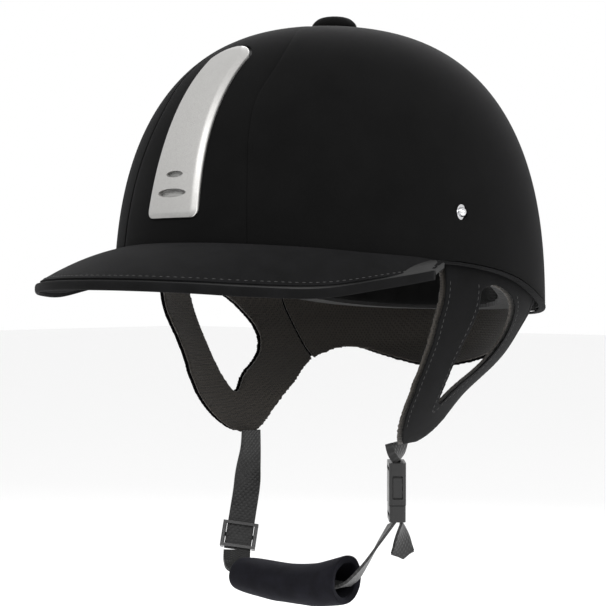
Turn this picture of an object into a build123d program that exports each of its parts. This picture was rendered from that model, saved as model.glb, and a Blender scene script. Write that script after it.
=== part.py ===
from build123d import *
import os
from math import cos, sin, pi, radians

# Equestrian riding helmet with a padded harness and a buckled chin strap.
# Millimetres. +Z is up, the peak points along -Y, and the wearer's left is +X.
# The origin lies on the dome's axis, at the level of the shell's lowest (rear) edge.

# ---- driving sizes -------------------------------------------------------------------------
HALF_WIDTH = 117.0         # dome, outside the velvet
HALF_LENGTH = 139.0
DOME_HEIGHT = 168.5
DOME_POWER = 2.55          # squareness of the dome's profile: 2 would be an ellipse
SKIRT = 12.0               # straight wall that the rim line is cut from

COVER = 1.0                # velvet
SHELL = 2.8                # moulded shell
FOAM = 23.0                # expanded polystyrene
COMFORT = 5.6              # headband and crown padding
LAYER_GAP = 0.2            # between neighbouring layers of the dome
SEAM_GAP = 0.3             # between neighbouring velvet panels

RIM = [(-180, 41), (-139, 39), (-112, 35.6), (-70, 30.7), (-33, 29.5),
       (12, 22.8), (62, 9.5), (102, 2.5), (139, 0.5), (180, 0.5)]     # (y, z), seen from the side
RIM_BEAD = 1.6             # height of the bound edge under the shell

SEAM = [(46, 15), (45, 40), (41.6, 71.5), (36.4, 99), (33.6, 116), (33.4, 136), (27, 152), (11, 167)]
SEAM_TOP = DOME_HEIGHT + 12

BUTTON_RADIUS = 13.6
BUTTON_RISE = 8.2
SHANK_RADIUS, SHANK_CLEAR = 2.4, 0.15
SHANK_HEAD_RADIUS, SHANK_HEAD_THICK = 6.5, 1.2
HEAD_CLEAR = 1.0           # foam cut away round the rivet's head

PEAK_HALF_WIDTH = 112.5
PEAK_REACH = 153.0         # from the peak's two ends forward to its tip
PEAK_BACK = -47.6          # y of the peak's two ends
PEAK_CORE = 2.2
PEAK_SKIN = 1.0
PEAK_EDGE = 3.2            # width of the rolled edge
PEAK_ARCH = 3.0            # how far the top of the peak is crowned
PEAK_CLEAR = 0.3
PEAK_GAP = 0.15            # between the core and its skins
PEAK_ROOT = 0.93           # the skins start this far out, as a share of the dome, and are cut to it
PEAK_STATIONS, PEAK_END_TURN = 12, 4

TRIM_BOTTOM, TRIM_TOP = 54.0, 150.0
TRIM_HALF_BOTTOM, TRIM_HALF_MID, TRIM_HALF_TOP = 18.3, 15.8, 14.4
TRIM_CORNER = 4.5
TRIM_PROUD = 2.2
VENTS = [(67.0, 10.0, 2.3), (77.0, 6.0, 1.7)]       # height, half-length, half-height
MESH_THICK = 0.6

STUD_Y, STUD_Z = -30.6, 57.5
STUD_RADIUS, STUD_SHANK = 2.6, 1.5
WASHER_RADIUS, WASHER_THICK = 4.1, 0.7
WASHER_CLEAR, WASHER_BED = 0.2, 0.05
STUD_CLEAR = 0.1
STUD_HEAD_RADIUS, STUD_HEAD_THICK = 3.4, 1.0

# harness: padded arms that hang from inside the shell and run together under each ear
FORM = [(70, 107.6, 128.6, 0.0), (45, 110.9, 132.6, 0.0), (20, 112.3, 134.2, 0.0), (8, 110.6, 132.4, 0.0),
        (-5, 104.6, 127.6, -2.4), (-20, 95.8, 126.0, -7.6), (-35, 87.5, 118.0, -19.0),
        (-50, 79.0, 107.0, -28.0), (-70, 64.6, 96.0, -32.0), (-90, 50.0, 88.0, -34.0)]  # z, half sizes, y
YOKE_OUTER = 1.5
YOKE_CORE = 1.1            # webbing between the two skins
YOKE_LINING = 2.2
YOKE_GAP = 0.15
YOKE_EDGE = [(-39.5, 36), (-39.5, 10), (-39, 0), (-37, -10), (-36, -20), (-36, -38), (-34.5, -50),
             (-30, -60), (-23.5, -67), (-18, -70)]
YOKE_REAR = [(-4, -70), (5, -66.5), (15, -60), (28, -50), (42, -40.5), (57, -31), (72, -25)]
NAPE_EDGE = [(72, -25), (84, -21.8), (94, -23), (101, -31), (104, -37), (106, -38), (150, -38)]
EAR_HOLE = [(-11.3, 14), (-10.6, 0), (-10.8, -15), (-10, -28), (-8, -40), (-4.5, -46.5), (3.5, -41),
            (20, -30), (32, -20), (35.8, -10), (32.6, 0), (25, 9), (10, 16.5), (-6, 17.5)]
CORE_FRONT = [(-33.5, 40), (-33.5, 0), (-30.5, -20), (-30, -38), (-26.5, -52), (-19, -66)]
CORE_REAR = [(-7, -66), (-14, -52), (-16.5, -38), (-17, -20), (-19.5, 0), (-19.5, 40)]
NAPE_SEAM = 62.0           # y where each arm is sewn to the neck piece
HARNESS_TOP_FRONT, HARNESS_TOP_REAR = 44.0, 22.0
POCKET_CLEAR = 0.4

ANCHOR_HALF = 8.0          # webbing that rises inside the shell to the side rivet
ANCHOR_THICK = 1.4
ANCHOR_TOP = 68.0

# chin strap
WEB = 16.0
WEB_THICK = 1.6
STRAP_X, STRAP_Y, STRAP_Z = 55.0, -12.5, -76.0      # left pivot; the right one mirrors it
SLIDER_TOP = (-54.5, -17.0, -104.0)                 # ends of the straight run under the slider
SLIDER_END = (-50.0, -30.5, -139.0)
SLIDER_AT = 0.77                                    # share of that run, at rest
SLIDER_LONG, SLIDER_BAR, SLIDER_RAIL = 15.5, 1.7, 2.2
SLIDER_CLEAR = 0.4
FACING = 40.0              # degrees that the buckle and the slider are turned about the vertical

CUP_Z = -149.0             # webbing inside the chin cup
CUP_Y = -37.0
CHIN_WEB_END = 36.0        # x where the cup's webbing is joined to the run that rises to the buckle
CUP_RINGS = [(-40, 13.0, 10.2, -151.0), (-20, 13.6, 11.0, -152.0), (0, 14.0, 11.3, -152.0),
             (20, 14.0, 12.6, -150.0), (39, 14.2, 14.6, -145.0)]      # x, half depth, half height, z
CUP_SKIN, CUP_PAD, CUP_GAP = 1.1, 2.6, 0.2

BUCKLE_WIDE, BUCKLE_THICK = 22.0, 9.6
SOCKET_TOP, SOCKET_LONG = -80.0, 23.5
BUCKLE_WALL = 1.5
BUCKLE_GAP = 0.35
PLUG_LONG = 9.0
WINDOW_LONG, WINDOW_HIGH = 13.0, 5.6
ARM_THICK, ARM_DEEP, ARM_LONG = 2.2, 5.0, 16.0
TONGUE_HALF, TONGUE_DEEP = 1.8, 2.6
BAR = 2.4                  # webbing bars of the socket and the plug
WEB_END_GAP = 0.3          # between the ends of neighbouring runs of webbing
WEB_STRAIGHT = 2.2         # each run starts and ends straight for this length

os.makedirs("parts", exist_ok=True)


# ---- shared shapes -------------------------------------------------------------------------
def dome(inset, skirt=SKIRT):
    """The dome drawn in by inset: a squarish profile turned about Z and stretched in Y."""
    a, b, h = HALF_WIDTH - inset, HALF_LENGTH - inset, DOME_HEIGHT - inset
    steps = 10
    angles = [pi / 2 * i / steps for i in range(steps)]
    rise = [(a * cos(t) ** (2 / DOME_POWER), h * sin(t) ** (2 / DOME_POWER)) for t in angles]
    with BuildSketch(Plane.XZ) as half:
        with BuildLine():
            Polyline((0, h), (0, -skirt), (a, -skirt), (a, 0))
            Spline(*rise, (0, h), tangents=[(0, 1), (-1, 0)])
        make_face()
    return scale(revolve(half.sketch, Axis.Z, 360), by=(1, b / a, 1))


def side_region(points, closed_by):
    """A block across the whole width whose side view is a curve closed by straight lines."""
    with BuildSketch(Plane.YZ) as view:
        with BuildLine():
            Spline(*points)
            Polyline(points[-1], *closed_by, points[0])
        make_face()
    return extrude(view.sketch, 160, both=True)


def below_rim(lift):
    """Everything under the rim line, raised by lift."""
    line = [(y, z + lift) for y, z in RIM]
    return side_region(line, [(180, -60), (-180, -60)])


def block(x0, x1, y0, y1, z0, z1):
    return Pos((x0 + x1) / 2, (y0 + y1) / 2, (z0 + z1) / 2) * Box(x1 - x0, y1 - y0, z1 - z0)


def ribbon(stations, width=WEB, thick=WEB_THICK):
    """Flat webbing through (centre, width direction) stations, ruled from one to the next."""
    faces = []
    for i, (centre, across) in enumerate(stations):
        last = Vector(*stations[max(i - 1, 0)][0])
        following = Vector(*stations[min(i + 1, len(stations) - 1)][0])
        along = (following - last).normalized()
        across = Vector(*across)
        across = (across - along * across.dot(along)).normalized()
        plane = Plane(origin=centre, x_dir=across, z_dir=along)
        faces.append((plane * Rectangle(width, thick)).face())
    return loft(faces, ruled=True)


def write(name, shape):
    export_step(shape if not isinstance(shape, list) else Compound(children=shape), f"parts/{name}.step")


# ---- dome: velvet panels, shell, foam, padding ---------------------------------------------
shell_out = COVER + LAYER_GAP
shell_in = shell_out + SHELL
foam_out = shell_in + LAYER_GAP
foam_in = foam_out + FOAM
pad_out = foam_in + LAYER_GAP
pad_in = pad_out + COMFORT

dome_outside = dome(0)
under_bead = below_rim(0)
under_edge = below_rim(RIM_BEAD + LAYER_GAP)


def seam_region(grow):
    """The front panel's outline, seen from the front, with its two seams moved out by grow."""
    right = [(x + grow, z) for x, z in SEAM]
    left = [(-x, z) for x, z in right]
    with BuildSketch(Plane.XZ) as view:
        with BuildLine():
            Spline(*right)
            Polyline(right[-1], (right[-1][0], SEAM_TOP), (left[-1][0], SEAM_TOP), left[-1])
            Spline(*left)
            Polyline(left[0], (left[0][0], -20), (right[0][0], -20), right[0])
        make_face()
    return view.sketch


button_hole = Pos(0, 0, DOME_HEIGHT) * Cylinder(SHANK_RADIUS + SHANK_CLEAR, 80)


def trim_outline(grow):
    """The trim's outline, seen from the front: a tall tapering strip with a rounded top."""
    foot, mid, head = TRIM_HALF_BOTTOM + grow, TRIM_HALF_MID + grow, TRIM_HALF_TOP + grow
    low, high = TRIM_BOTTOM - grow, TRIM_TOP + grow
    waist = (low + high) / 2
    shoulder = high - 7
    with BuildSketch(Plane.XZ) as view:
        with BuildLine():
            Spline((foot, low), (mid, waist), (head, shoulder))
            ThreePointArc((head, shoulder), (0, high), (-head, shoulder))
            Spline((-head, shoulder), (-mid, waist), (-foot, low))
            Line((-foot, low), (foot, low))
        make_face()
        fillet([v for v in view.vertices() if abs(v.Z - low) < 0.1 or abs(v.Y - low) < 0.1], TRIM_CORNER)
    return view.sketch


def forward(sketch):
    """A block ahead of the dome's axis with the given front view."""
    return Pos(0, -SEAM_GAP / 2, 0) * extrude(sketch, 200, dir=(0, -1, 0))


def backward(sketch):
    return Pos(0, SEAM_GAP / 2, 0) * extrude(sketch, 200, dir=(0, 1, 0))


stud_axis = Pos(0, STUD_Y, STUD_Z) * Rot(0, 90, 0)
washer_bore = stud_axis * Cylinder(WASHER_RADIUS + WASHER_CLEAR, 400)
stud_bore = stud_axis * Cylinder(STUD_SHANK + STUD_CLEAR, 400)
face_x = HALF_WIDTH * (1 - (STUD_Z / DOME_HEIGHT) ** DOME_POWER) ** (1 / DOME_POWER)
face_x = face_x * (1 - (STUD_Y / HALF_LENGTH) ** 2) ** 0.5
bed_x = face_x - COVER - WASHER_BED
washer_bed = washer_bore - block(-bed_x, bed_x, -200, 200, -200, 200)
rivet_depth = shell_in + LAYER_GAP + ANCHOR_THICK
half_gap = SEAM_GAP / 2
keep_left = block(half_gap, 200, -200, 200, -200, 200)
keep_right = block(-200, -half_gap, -200, 200, -200, 200)

velvet = dome_outside - dome(COVER) - under_edge - button_hole
panel_view = seam_region(0)
wide_view = seam_region(SEAM_GAP)
write("cover_front_panel", (velvet & forward(panel_view)) - forward(trim_outline(SEAM_GAP)))
write("cover_rear_panel", velvet & backward(panel_view))
right_panel = (velvet & keep_right) - forward(wide_view) - backward(wide_view) - washer_bore
write("cover_right_panel", right_panel)
write("cover_left_panel", mirror(right_panel, about=Plane.YZ))

shell = dome(shell_out) - dome(shell_in) - under_edge - button_hole - stud_bore - washer_bed
write("outer_shell", shell)
bead = (dome(-0.3) - dome(shell_in)) & below_rim(RIM_BEAD)
bead = bead - under_bead
write("rim_binding", bead)


# ---- harness form --------------------------------------------------------------------------
def form(inset):
    """The surface that the harness lies on, drawn in by inset: ellipses at falling heights."""
    faces = []
    for z, a, b, y in FORM:
        plane = Plane(origin=(0, y, z))
        faces.append((plane * Ellipse(a - inset, b - inset)).face())
    return loft(faces)


def harness_region(grow=0.0):
    """Side view of the harness: arms, ear hole and neck piece."""
    front = [(y - grow, z) for y, z in YOKE_EDGE]
    rear = [(y, z - grow) for y, z in YOKE_REAR]
    nape = [(y, z - grow) for y, z in NAPE_EDGE]
    with BuildSketch(Plane.YZ) as view:
        with BuildLine():
            Spline(*front)
            Line(front[-1], rear[0])
            Spline(*rear)
            Spline(*nape[:-1])
            Polyline(nape[-2], nape[-1], (150, HARNESS_TOP_REAR + grow),
                     (front[0][0], HARNESS_TOP_FRONT + grow), front[0])
        make_face()
    return extrude(view.sketch, 160, both=True)


with BuildSketch(Plane.YZ) as ear_view:
    with BuildLine():
        Spline(*EAR_HOLE, periodic=True)
    make_face()
ear_holes = extrude(ear_view.sketch, 160, both=True)

lining_out = YOKE_OUTER + YOKE_CORE + 2 * YOKE_GAP
lining_in = lining_out + YOKE_LINING
harness_side = harness_region() - ear_holes
skin_layer = (form(0) - form(YOKE_OUTER)) & harness_side
lining_layer = (form(lining_out) - form(lining_in)) & harness_side
right_arm_zone = block(-200, -half_gap, -200, NAPE_SEAM - half_gap, -200, 200)
nape_zone = block(-200, 200, NAPE_SEAM + half_gap, 200, -200, 200)


def write_pair(name, right_piece):
    """A piece of the wearer's right side and its mirror image on the left."""
    write(f"{name}_right", right_piece)
    write(f"{name}_left", mirror(right_piece, about=Plane.YZ))


write_pair("yoke_outer", skin_layer & right_arm_zone)
write_pair("yoke_lining", lining_layer & right_arm_zone)
write("nape_outer", skin_layer & nape_zone)
write("nape_lining", lining_layer & nape_zone)

# webbing sewn between the skins of each front arm
core_layer = form(YOKE_OUTER + YOKE_GAP) - form(YOKE_OUTER + YOKE_GAP + YOKE_CORE)
core_strip = side_region(CORE_FRONT, CORE_REAR)
write_pair("yoke_webbing", core_layer & core_strip & keep_right)

foam = dome(foam_out) - dome(foam_in) - below_rim(RIM_BEAD + 1.0)
pocket = (form(-POCKET_CLEAR) - form(lining_in + POCKET_CLEAR)) & harness_region(1.0)
anchor_zone = block(-200, 200, STUD_Y - ANCHOR_HALF, STUD_Y + ANCHOR_HALF, HARNESS_TOP_FRONT + 0.4, ANCHOR_TOP)
anchor_bed = block(-200, 200, STUD_Y - ANCHOR_HALF - 0.5, STUD_Y + ANCHOR_HALF + 0.5, 30, ANCHOR_TOP + 0.5)
bed_layer = dome(foam_out - 0.1) - dome(foam_out + ANCHOR_THICK + 2.6)
foam = foam - pocket - (bed_layer & anchor_bed)

anchor = (dome(foam_out) - dome(foam_out + ANCHOR_THICK)) & anchor_zone
anchor = anchor - stud_bore
write_pair("anchor_webbing", anchor & keep_right)

padding = dome(pad_out) - dome(pad_in)
band_zone = side_region([(y, z + 4.0) for y, z in RIM], [(180, 62), (-180, 62)])
write("headband_pad", padding & band_zone)
crown_zone = extrude(Plane(origin=(0, 0, 60)) * Ellipse(56, 70), 140)
write("crown_pad", padding & crown_zone)

# ---- crown button --------------------------------------------------------------------------
top = DOME_HEIGHT + 0.3
with BuildSketch(Plane.XZ) as button_half:
    with BuildLine():
        Polyline((SHANK_RADIUS + SHANK_CLEAR, top + 3), (SHANK_RADIUS + SHANK_CLEAR, top), (BUTTON_RADIUS - 1.5, top))
        Spline((BUTTON_RADIUS - 1.5, top), (BUTTON_RADIUS, top + 1.8), (BUTTON_RADIUS * 0.72, top + 5.8),
               (0, top + BUTTON_RISE), tangents=[(1, 0), (-1, 0)])
        Polyline((0, top + BUTTON_RISE), (0, top + 3), (SHANK_RADIUS + SHANK_CLEAR, top + 3))
    make_face()
button = revolve(button_half.sketch, Axis.Z, 360) - dome(-0.3)
write("crown_button", button)
shank_low = DOME_HEIGHT - shell_in - 1.4
shank = Pos(0, 0, (top + 2.8 + shank_low) / 2) * Cylinder(SHANK_RADIUS, top + 2.8 - shank_low)
shank_head = Pos(0, 0, shank_low - SHANK_HEAD_THICK / 2) * Cylinder(SHANK_HEAD_RADIUS, SHANK_HEAD_THICK)
write("crown_rivet", shank + shank_head)
relief_low = shank_low - SHANK_HEAD_THICK - HEAD_CLEAR
relief_high = DOME_HEIGHT - foam_out + HEAD_CLEAR
foam_relief = Pos(0, 0, (relief_low + relief_high) / 2)
foam_relief = foam_relief * Cylinder(SHANK_HEAD_RADIUS + HEAD_CLEAR, relief_high - relief_low)
foam = foam - foam_relief
write("foam_liner", max(foam.solids(), key=lambda piece: piece.volume))

# ---- front trim ----------------------------------------------------------------------------
def vent_block(z, half_long, half_high, grow=0.0):
    slot = Plane.XZ * Pos(0, z) * SlotOverall(2 * (half_long + grow), 2 * (half_high + grow))
    return extrude(slot, 200, dir=(0, -1, 0))


trim = (dome(-TRIM_PROUD) - dome(COVER - 0.1)) & forward(trim_outline(0))
for z, half_long, half_high in VENTS:
    trim = trim - vent_block(z, half_long, half_high)
write("front_trim", trim)
meshes = []
for z, half_long, half_high in VENTS:
    layer = dome(COVER - 0.1 - MESH_THICK) - dome(COVER - 0.1)
    meshes.append((layer & vent_block(z, half_long, half_high, grow=-0.1)).solid())
write("trim_vent_meshes", meshes)

# ---- side studs ----------------------------------------------------------------------------
studs, washers = [], []
for side in (1, -1):
    shaft_in = face_x - rivet_depth - 1.4
    out = face_x - COVER + WASHER_THICK + 0.1
    shaft = Rot(0, 90, 0) * Cylinder(STUD_SHANK, out - shaft_in)
    shaft = Pos(side * (shaft_in + out) / 2, STUD_Y, STUD_Z) * shaft
    cap = Pos(side * out, STUD_Y, STUD_Z) * Sphere(STUD_RADIUS)
    keep = Pos(side * (out + 5), STUD_Y, STUD_Z) * Box(10, 20, 20)
    head_x = side * (shaft_in - STUD_HEAD_THICK / 2)
    inner = Pos(head_x, STUD_Y, STUD_Z) * Rot(0, 90, 0) * Cylinder(STUD_HEAD_RADIUS, STUD_HEAD_THICK)
    studs.append((shaft + (cap & keep) + inner).solid())
    ring = Pos(side * (face_x - COVER + WASHER_THICK / 2), STUD_Y, STUD_Z) * Rot(0, 90, 0)
    washers.append((ring * (Cylinder(WASHER_RADIUS, WASHER_THICK) - Cylinder(STUD_SHANK + 0.15, 5))).solid())
write("side_studs", studs)
write("stud_washers", washers)


# ---- peak ----------------------------------------------------------------------------------
def rim_z(y):
    """Height of the rim line at y, for the front of the helmet."""
    for (y0, z0), (y1, z1) in zip(RIM, RIM[1:]):
        if y <= y1:
            return z0 + (z1 - z0) * (y - y0) / (y1 - y0)
    return RIM[-1][1]


def peak_station(turn):
    """Root and edge of the peak where its outline has turned by an angle from its left end."""
    edge_x = PEAK_HALF_WIDTH * cos(turn)
    edge_y = PEAK_BACK - PEAK_REACH * sin(turn)
    droop = sin(turn)
    edge_z = 27.5 - 11.5 * min(1, 1.7 * droop) + 5.0 * max(0, droop - 0.6) / 0.4
    root_x = PEAK_ROOT * HALF_WIDTH * cos(turn)
    root_y = PEAK_BACK * 0.55 - (HALF_LENGTH * PEAK_ROOT + PEAK_BACK * 0.55) * droop
    root_z = rim_z(root_y) + 4.2
    return Vector(root_x, root_y, root_z), Vector(edge_x, edge_y, edge_z)


def peak_turns():
    """Angles of the peak's stations, from just past its left end to just short of its right one."""
    sweep = 180 - 2 * PEAK_END_TURN
    return [radians(PEAK_END_TURN + sweep * i / PEAK_STATIONS) for i in range(PEAK_STATIONS + 1)]


def peak_layer(low, high, inset):
    """A skin of the peak between two heights below its top surface, stopping short of the edge."""
    faces = []
    for turn in peak_turns():
        root, edge = peak_station(turn)
        out = Vector(edge.X - root.X, edge.Y - root.Y, 0)
        long = out.length
        flat = out.normalized()
        plane = Plane(origin=root, x_dir=flat, z_dir=flat.cross(Vector(0, 0, 1)).normalized())
        drop = edge.Z - root.Z
        stop = long - inset
        mid = stop * 0.5

        def height(s, below, long=long, drop=drop):
            share = s / long
            return drop * share + PEAK_ARCH * 4 * share * (1 - share) * min(1, long / 60) - below

        with BuildSketch(plane) as cut:
            with BuildLine():
                Spline((0, height(0, low)), (mid, height(mid, low)), (stop, height(stop, low)))
                Line((stop, height(stop, low)), (stop, height(stop, high)))
                Spline((stop, height(stop, high)), (mid, height(mid, high)), (0, height(0, high)))
                Line((0, height(0, high)), (0, height(0, low)))
            make_face()
        faces.append(cut.sketch.face())
    return loft(faces)


peak_room = dome(-PEAK_CLEAR, skirt=40)
skin = PEAK_SKIN
core_low = skin + PEAK_GAP
core_high = core_low + PEAK_CORE
under_low = core_high + PEAK_GAP
thick = under_low + skin
write("peak_cover_top", peak_layer(0, skin, PEAK_EDGE) - peak_room)
write("peak_core", peak_layer(core_low, core_high, PEAK_EDGE) - peak_room)
write("peak_cover_under", peak_layer(under_low, thick, PEAK_EDGE) - peak_room)


def peak_edge():
    faces = []
    for turn in peak_turns():
        root, edge = peak_station(turn)
        flat = Vector(edge.X - root.X, edge.Y - root.Y, 0).normalized()
        plane = Plane(origin=edge, x_dir=flat, z_dir=flat.cross(Vector(0, 0, 1)).normalized())
        back = 0.25 - PEAK_EDGE
        with BuildSketch(plane) as cut:
            with BuildLine():
                Line((back, 0.2), (back, -thick - 0.2))
                Line((back, -thick - 0.2), (-1.6, -thick - 0.2))
                ThreePointArc((-1.6, -thick - 0.2), (0.3, -thick / 2), (-1.6, 0.2))
                Line((-1.6, 0.2), (back, 0.2))
            make_face()
        faces.append(cut.sketch.face())
    return loft(faces)


write("peak_edge_binding", peak_edge() - peak_room)

# ---- chin strap webbing --------------------------------------------------------------------
facing = radians(FACING)
across_camera = (cos(facing), sin(facing), 0)
across_buckle = (-sin(facing), cos(facing), 0)


def strap_end(side):
    """Rounded top of a strap, centred on the swing axis so that it turns in place."""
    return Pos(side * STRAP_X, STRAP_Y, STRAP_Z) * Rot(0, 90, 0) * Cylinder(WEB / 2, WEB_THICK)


run = (Vector(*SLIDER_END) - Vector(*SLIDER_TOP)).normalized()
right_web = ribbon([((-STRAP_X, STRAP_Y, STRAP_Z), (0, 1, 0)),
                    ((-STRAP_X, STRAP_Y - 1.6, STRAP_Z - 13), (0.35, 0.94, 0)),
                    (SLIDER_TOP, across_camera), (SLIDER_END, across_camera)])
write("right_webbing", right_web + strap_end(-1))
cup_in, cup_out = CUP_RINGS[0][0], CUP_RINGS[-1][0]
chin_web = ribbon([(tuple(Vector(*SLIDER_END) + run * WEB_END_GAP), across_camera),
                   (tuple(Vector(*SLIDER_END) + run * (WEB_END_GAP + WEB_STRAIGHT)), across_camera),
                   ((-47, -34.5, -146.5), (0.35, 0.94, 0)),
                   ((-43, CUP_Y, CUP_Z), (0, 1, 0)),
                   ((CHIN_WEB_END, CUP_Y, CUP_Z), (0, 1, 0))])
write("chin_webbing", chin_web)
plug_low = SOCKET_TOP - SOCKET_LONG - BUCKLE_GAP - PLUG_LONG
left_start = CHIN_WEB_END + WEB_END_GAP
left_web = ribbon([((left_start, CUP_Y, CUP_Z), (0, 1, 0)),
                   ((left_start + WEB_STRAIGHT, CUP_Y, CUP_Z), (0, 1, 0)),
                   ((44.5, CUP_Y + 1, CUP_Z + 2.5), (-0.15, 0.99, 0)),
                   ((50, CUP_Y + 9, CUP_Z + 19), (-0.5, 0.86, 0)),
                   ((STRAP_X, STRAP_Y - 1, plug_low - WEB_END_GAP - 2 * WEB_STRAIGHT), across_buckle),
                   ((STRAP_X, STRAP_Y - 1, plug_low - WEB_END_GAP), across_buckle)])
write("left_webbing", left_web)
tail_x, tail_y = STRAP_X + 2.2, STRAP_Y + 1.0
tail_web = ribbon([((tail_x, tail_y, plug_low - 0.3), across_buckle),
                   ((tail_x + 0.6, tail_y, plug_low - 16), across_buckle)])
tail_tip = ribbon([((tail_x + 0.6, tail_y, plug_low - 16), across_buckle),
                   ((tail_x + 0.8, tail_y, plug_low - 22), across_buckle)], width=WEB * 0.55)
write("webbing_tail", tail_web + tail_tip)

# ---- slider --------------------------------------------------------------------------------
centre = Vector(*SLIDER_TOP) + (Vector(*SLIDER_END) - Vector(*SLIDER_TOP)) * SLIDER_AT
wide = Vector(*across_camera)
wide = (wide - run * wide.dot(run)).normalized()
slider_plane = Plane(origin=tuple(centre), x_dir=tuple(wide), z_dir=tuple(wide.cross(run)))
bar_at = WEB_THICK / 2 + SLIDER_CLEAR + SLIDER_BAR / 2
rail_x = WEB / 2 + SLIDER_CLEAR + SLIDER_RAIL / 2
rail_high = 2 * (bar_at + SLIDER_BAR / 2)
bar_long = 2 * rail_x + SLIDER_RAIL
slider = None
for side in (1, -1):
    rail = Pos(side * rail_x, 0, 0) * Box(SLIDER_RAIL, SLIDER_LONG, rail_high)
    rail = fillet(rail.edges().filter_by(Axis.Y), 0.9)
    slider = rail if slider is None else slider + rail
end_y = SLIDER_LONG / 2 - SLIDER_BAR / 2
for y, z in ((end_y, -bar_at), (-end_y, -bar_at), (0, bar_at)):
    slider = slider + Pos(0, y, z) * Box(bar_long - 0.4, SLIDER_BAR + 0.6 * (y == 0), SLIDER_BAR)
write("strap_slider", slider_plane * slider)


# ---- chin cup ------------------------------------------------------------------------------
def cup_form(inset, stretch=0.0):
    """A sleeve drawn in by inset: upright ellipses along X, running past both ends by stretch."""
    faces = []
    for i, (x, half_y, half_z, z) in enumerate(CUP_RINGS):
        shift = (-stretch if i == 0 else 0) + (stretch if i == len(CUP_RINGS) - 1 else 0)
        plane = Plane(origin=(x + shift, CUP_Y, z), x_dir=(0, 1, 0), z_dir=(1, 0, 0))
        faces.append((plane * Ellipse(half_y - inset, half_z - inset)).face())
    return loft(faces)


write("chin_cup_outer", cup_form(0) - cup_form(CUP_SKIN, 0.5))
pad_start = CUP_SKIN + CUP_GAP
cup_pad = cup_form(pad_start, 1.0) - cup_form(pad_start + CUP_PAD, 2.0)
write("chin_cup_lining", cup_pad & block(cup_in + 1, cup_out - 1, -100, 100, -200, -100))

# ---- side-release buckle -------------------------------------------------------------------
# local axes: X is the thickness, Y the width, Z up
buckle_place = Pos(STRAP_X, STRAP_Y, 0) * Rot(0, 0, FACING)
socket_low = SOCKET_TOP - SOCKET_LONG
socket_mid = (SOCKET_TOP + socket_low) / 2
socket = Pos(0, 0, socket_mid) * Box(BUCKLE_THICK, BUCKLE_WIDE, SOCKET_LONG)
socket = fillet(socket.edges().filter_by(Axis.Z), 2.2)
cavity_top = SOCKET_TOP - 5.6
cavity = block(-BUCKLE_THICK / 2 + BUCKLE_WALL, BUCKLE_THICK / 2 - BUCKLE_WALL,
               -BUCKLE_WIDE / 2 + BUCKLE_WALL, BUCKLE_WIDE / 2 - BUCKLE_WALL, socket_low - 1, cavity_top)
window_top = cavity_top - 1.5
window = block(-WINDOW_HIGH / 2, WINDOW_HIGH / 2, -BUCKLE_WIDE, BUCKLE_WIDE, window_top - WINDOW_LONG, window_top)
slot_half = WEB / 2 + 0.6
socket = socket - cavity - window - block(-BUCKLE_THICK, BUCKLE_THICK, -slot_half, slot_half,
                                          SOCKET_TOP - 4.6, SOCKET_TOP - BAR)
write("buckle_socket", buckle_place * socket)

plug_top = socket_low - BUCKLE_GAP
plug = block(-BUCKLE_THICK / 2 + 0.2, BUCKLE_THICK / 2 - 0.2, -BUCKLE_WIDE / 2, BUCKLE_WIDE / 2, plug_low, plug_top)
plug = fillet(plug.edges().filter_by(Axis.Z), 2.0)
plug = plug - block(-BUCKLE_THICK, BUCKLE_THICK, -slot_half, slot_half, plug_low + BAR, plug_low + BAR + 2.2)
tongue = block(-TONGUE_DEEP / 2, TONGUE_DEEP / 2, -TONGUE_HALF, TONGUE_HALF, plug_top - 0.5, cavity_top - 1.5)
write("buckle_plug", buckle_place * (plug + tongue))

arm_foot = plug_top + BUCKLE_GAP
arm_y = BUCKLE_WIDE / 2 - BUCKLE_WALL - 0.5 - ARM_THICK / 2
for name, side in (("front", -1), ("rear", 1)):
    blade = block(-ARM_DEEP / 2, ARM_DEEP / 2, side * arm_y - ARM_THICK / 2, side * arm_y + ARM_THICK / 2,
                  arm_foot, arm_foot + ARM_LONG)
    pad_y = side * (BUCKLE_WIDE / 2 - 0.6)
    pad_low, pad_high = window_top - WINDOW_LONG + 0.9, window_top - 1.2
    pad = block(-ARM_DEEP / 2, ARM_DEEP / 2, min(side * arm_y, pad_y), max(side * arm_y, pad_y), pad_low,
                min(pad_high, arm_foot + ARM_LONG))
    write(f"buckle_arm_{name}", buckle_place * (blade + pad))

# webbing loop that hangs the socket under the left arm
loop_web = ribbon([((STRAP_X, STRAP_Y, STRAP_Z), (0, 1, 0)),
                   ((STRAP_X, STRAP_Y, SOCKET_TOP + 0.3), across_buckle)])
write("buckle_loop_webbing", loop_web + strap_end(1))
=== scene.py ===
import math
import bmesh
import bpy
from mathutils import Matrix, Vector, noise
from mathutils.bvhtree import BVHTree


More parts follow.
